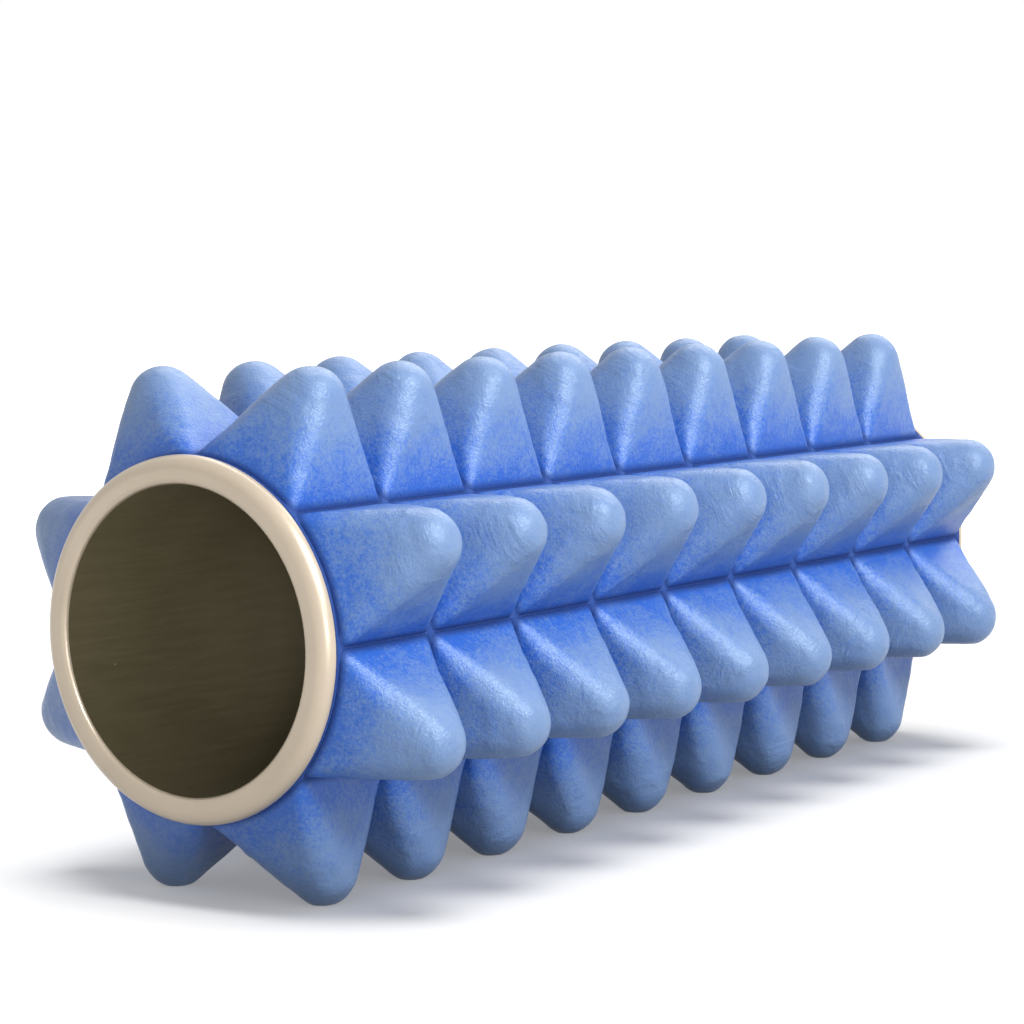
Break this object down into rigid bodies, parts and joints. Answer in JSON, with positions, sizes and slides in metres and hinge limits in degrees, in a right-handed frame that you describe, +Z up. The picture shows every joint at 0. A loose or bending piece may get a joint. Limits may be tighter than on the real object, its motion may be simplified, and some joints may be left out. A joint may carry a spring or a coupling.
{
  "type": "foam roller",
  "caption": "Hollow massage roller: rigid tube with a glued foam cover of square studs that taper to round tips, and a smooth trim ring at each end.",
  "frame": {"origin": "on the surface that the roller lies on, under the middle of the roller", "axes": "+Y along the roller from its front end to its rear end, +Z up, +X to the right seen from the front end"},
  "size_m": [0.131, 0.33, 0.131],
  "materials": {
    "tube_plastic": "satin, dark olive brown",
    "ring_plastic": "satin, champagne",
    "glue": "dried contact adhesive",
    "foam": "closed-cell foam with a fine leather-like skin, blue"
  },
  "bodies": {
    "root": {"core_tube": "tube_plastic", "end_ring_front": "ring_plastic", "end_ring_rear": "ring_plastic", "adhesive_film": "glue", "foam_cover": "foam"}
  },
  "joints": []
}
